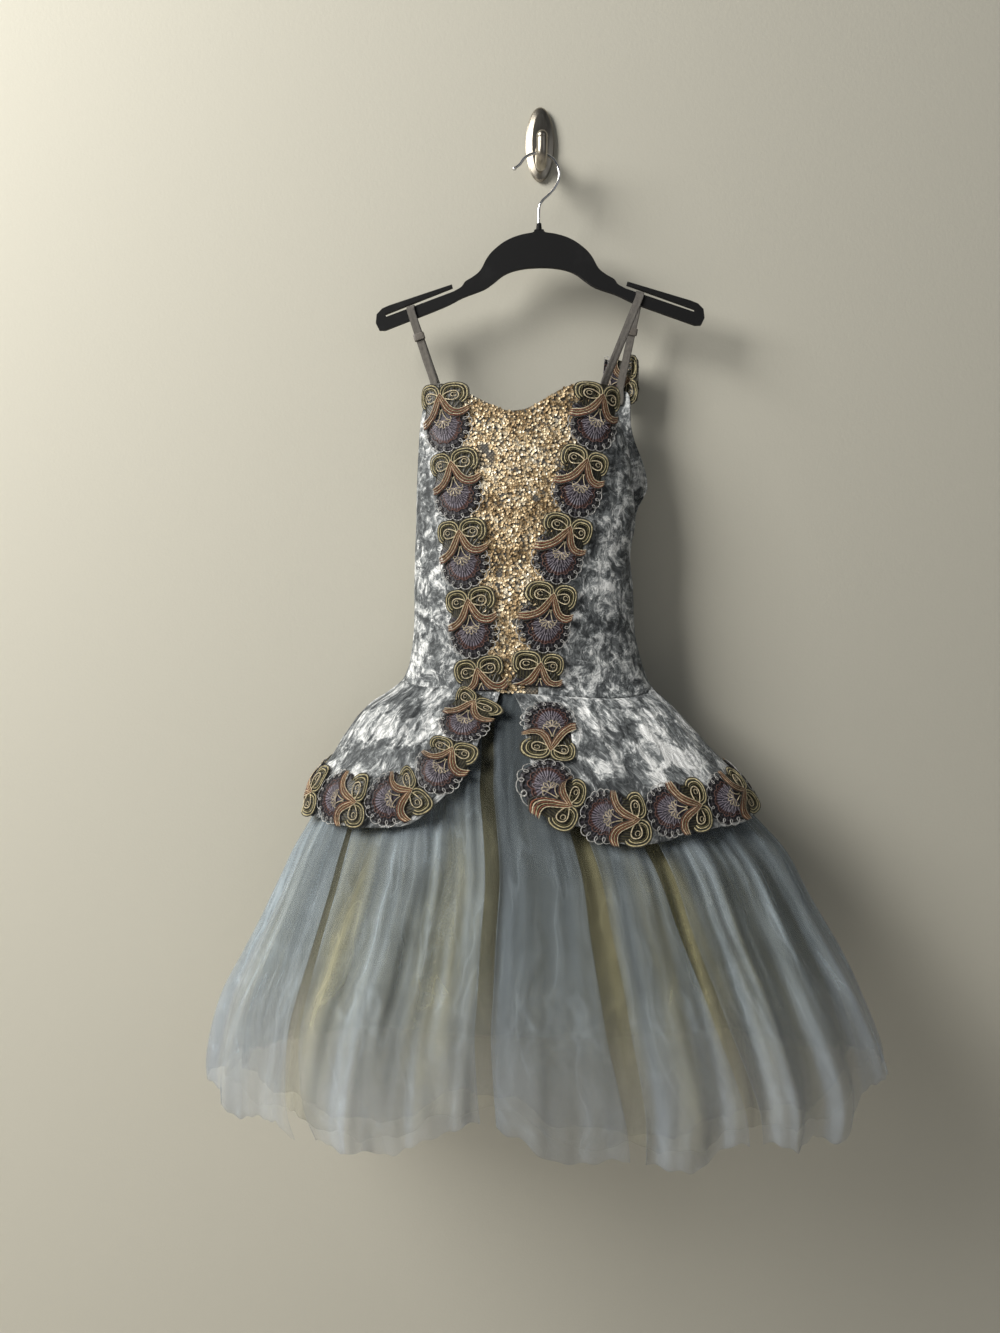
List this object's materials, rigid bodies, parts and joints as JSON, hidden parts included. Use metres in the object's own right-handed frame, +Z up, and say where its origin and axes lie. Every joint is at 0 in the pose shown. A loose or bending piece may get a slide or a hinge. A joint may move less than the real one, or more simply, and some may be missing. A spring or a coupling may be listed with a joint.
{
  "type": "ballet tutu costume on a hanger",
  "caption": "Child's ballet costume with velvet bodice and peplum, corded applique trim and a long gathered tulle skirt, on a hanger held by a wall hook.",
  "frame": {"origin": "centre of the wall hook's back face, on the wall", "axes": "+Z up, +Y into the wall, +X to the right as seen from the front"},
  "size_m": [0.7587, 0.3001, 1.1327],
  "materials": {
    "nickel": "brushed satin nickel",
    "chrome_wire": "polished",
    "flocked_black": "flocked, matt",
    "elastic": "ribbed narrow elastic, slight sheen",
    "elastic_slider": "smooth",
    "sequin_mesh": "small gold sequins sewn on mesh",
    "crushed_velvet": "crushed, silver sheen",
    "corded_applique": "metallic cord and satin stitch",
    "grey_tulle": "fine net, sheer",
    "gold_tulle": "fine net, sheer",
    "under_tulle": "fine net, sheer"
  },
  "bodies": {
    "root": {"wall_hook": "nickel", "hanger_hook": "chrome_wire", "hanger_body": "flocked_black", "strap_left": "elastic", "strap_right": "elastic", "slider_left": "elastic_slider", "slider_right": "elastic_slider", "centre_front_panel": "sequin_mesh", "side_front_left": "crushed_velvet", "side_front_right": "crushed_velvet", "back_panel": "crushed_velvet", "seam_trim_left": "corded_applique", "seam_trim_right": "corded_applique", "back_motif_right": "corded_applique", "peplum_left": "crushed_velvet", "peplum_right": "crushed_velvet", "peplum_trim_left": "corded_applique", "peplum_trim_right": "corded_applique", "overlay_side_left": "grey_tulle", "overlay_front_left": "grey_tulle", "overlay_centre": "grey_tulle", "overlay_front_right": "grey_tulle", "overlay_side_right": "grey_tulle", "overlay_back": "grey_tulle", "gold_layer": "gold_tulle", "under_layer": "under_tulle"}
  },
  "joints": []
}
